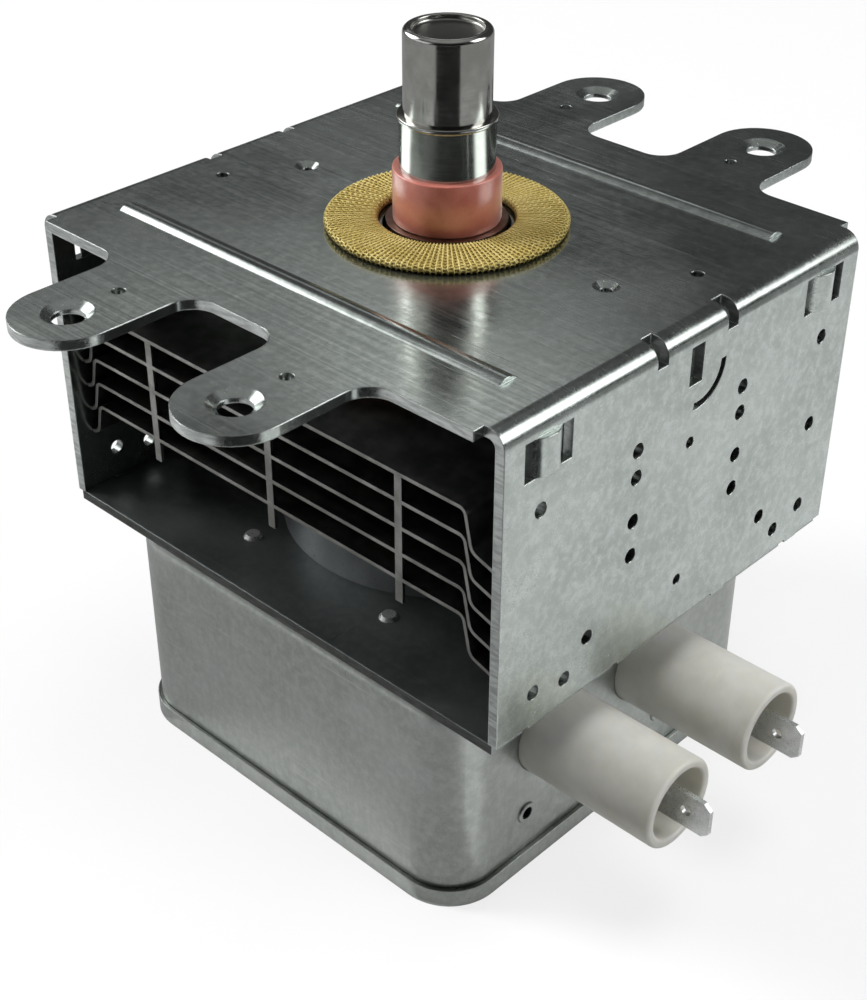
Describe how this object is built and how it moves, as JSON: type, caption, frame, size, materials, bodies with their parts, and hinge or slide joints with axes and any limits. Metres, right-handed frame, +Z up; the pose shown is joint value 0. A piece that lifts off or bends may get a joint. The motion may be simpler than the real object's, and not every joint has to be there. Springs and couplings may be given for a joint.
{
  "type": "magnetron",
  "caption": "Microwave-oven magnetron: folded steel yoke with mounting ears, antenna with mesh gasket, cooling fins, ring magnets and a filter box with blade contacts.",
  "frame": {"origin": "on the antenna axis at the underside of the top plate, in the middle of the ear holes, where their screw heads bear", "axes": "+Z up along the antenna, +X through the wall on the side of the contacts, Y through the open fin faces"},
  "size_m": [0.1168, 0.1316, 0.1234],
  "materials": {
    "yoke_steel": "satin zinc-plated sheet",
    "plate_steel": "dull sheared sheet",
    "box_steel": "satin drawn sheet",
    "brass_mesh": "knitted wire",
    "antenna_metal": "bright drawn metal",
    "pink_ceramic": "matte alumina",
    "ferrite": "dark sintered ferrite",
    "fin_aluminium": "plain rolled sheet",
    "copper": "bare copper",
    "iron": "plated iron",
    "heater_metal": "dull tungsten and molybdenum",
    "seal_metal": "drawn seal alloy",
    "tinned_steel": "tinned",
    "white_plastic": "moulded, slightly ivory"
  },
  "bodies": {
    "root": {"upper_yoke": "yoke_steel", "lower_yoke_plate": "plate_steel", "filter_box": "box_steel", "filter_box_lid": "box_steel", "flange_rivets": "box_steel", "rf_gasket": "brass_mesh", "antenna_cap": "antenna_metal", "antenna_sleeve": "antenna_metal", "output_ceramic": "pink_ceramic", "stem_ceramic": "pink_ceramic", "upper_magnet": "ferrite", "lower_magnet": "ferrite", "ferrite_core_1": "ferrite", "ferrite_core_2": "ferrite", "cooling_fin_1": "fin_aluminium", "cooling_fin_2": "fin_aluminium", "cooling_fin_3": "fin_aluminium", "cooling_fin_4": "fin_aluminium", "cooling_fin_5": "fin_aluminium", "exhaust_tube": "copper", "antenna_lead": "copper", "anode_cylinder": "copper", "anode_vanes": "copper", "strap_rings": "copper", "choke_coil_1": "copper", "choke_coil_2": "copper", "upper_pole_piece": "iron", "lower_pole_piece": "iron", "cathode_filament": "heater_metal", "upper_end_hat": "heater_metal", "lower_end_hat": "heater_metal", "centre_lead": "heater_metal", "side_lead": "heater_metal", "upper_seal_cup": "seal_metal", "lower_seal_cup": "seal_metal", "stem_terminals": "seal_metal", "box_rivets": "tinned_steel", "capacitor_flange": "tinned_steel", "blade_terminal_1": "tinned_steel", "blade_terminal_2": "tinned_steel", "insulating_tube_1": "white_plastic", "insulating_tube_2": "white_plastic", "capacitor_block": "white_plastic"}
  },
  "joints": []
}
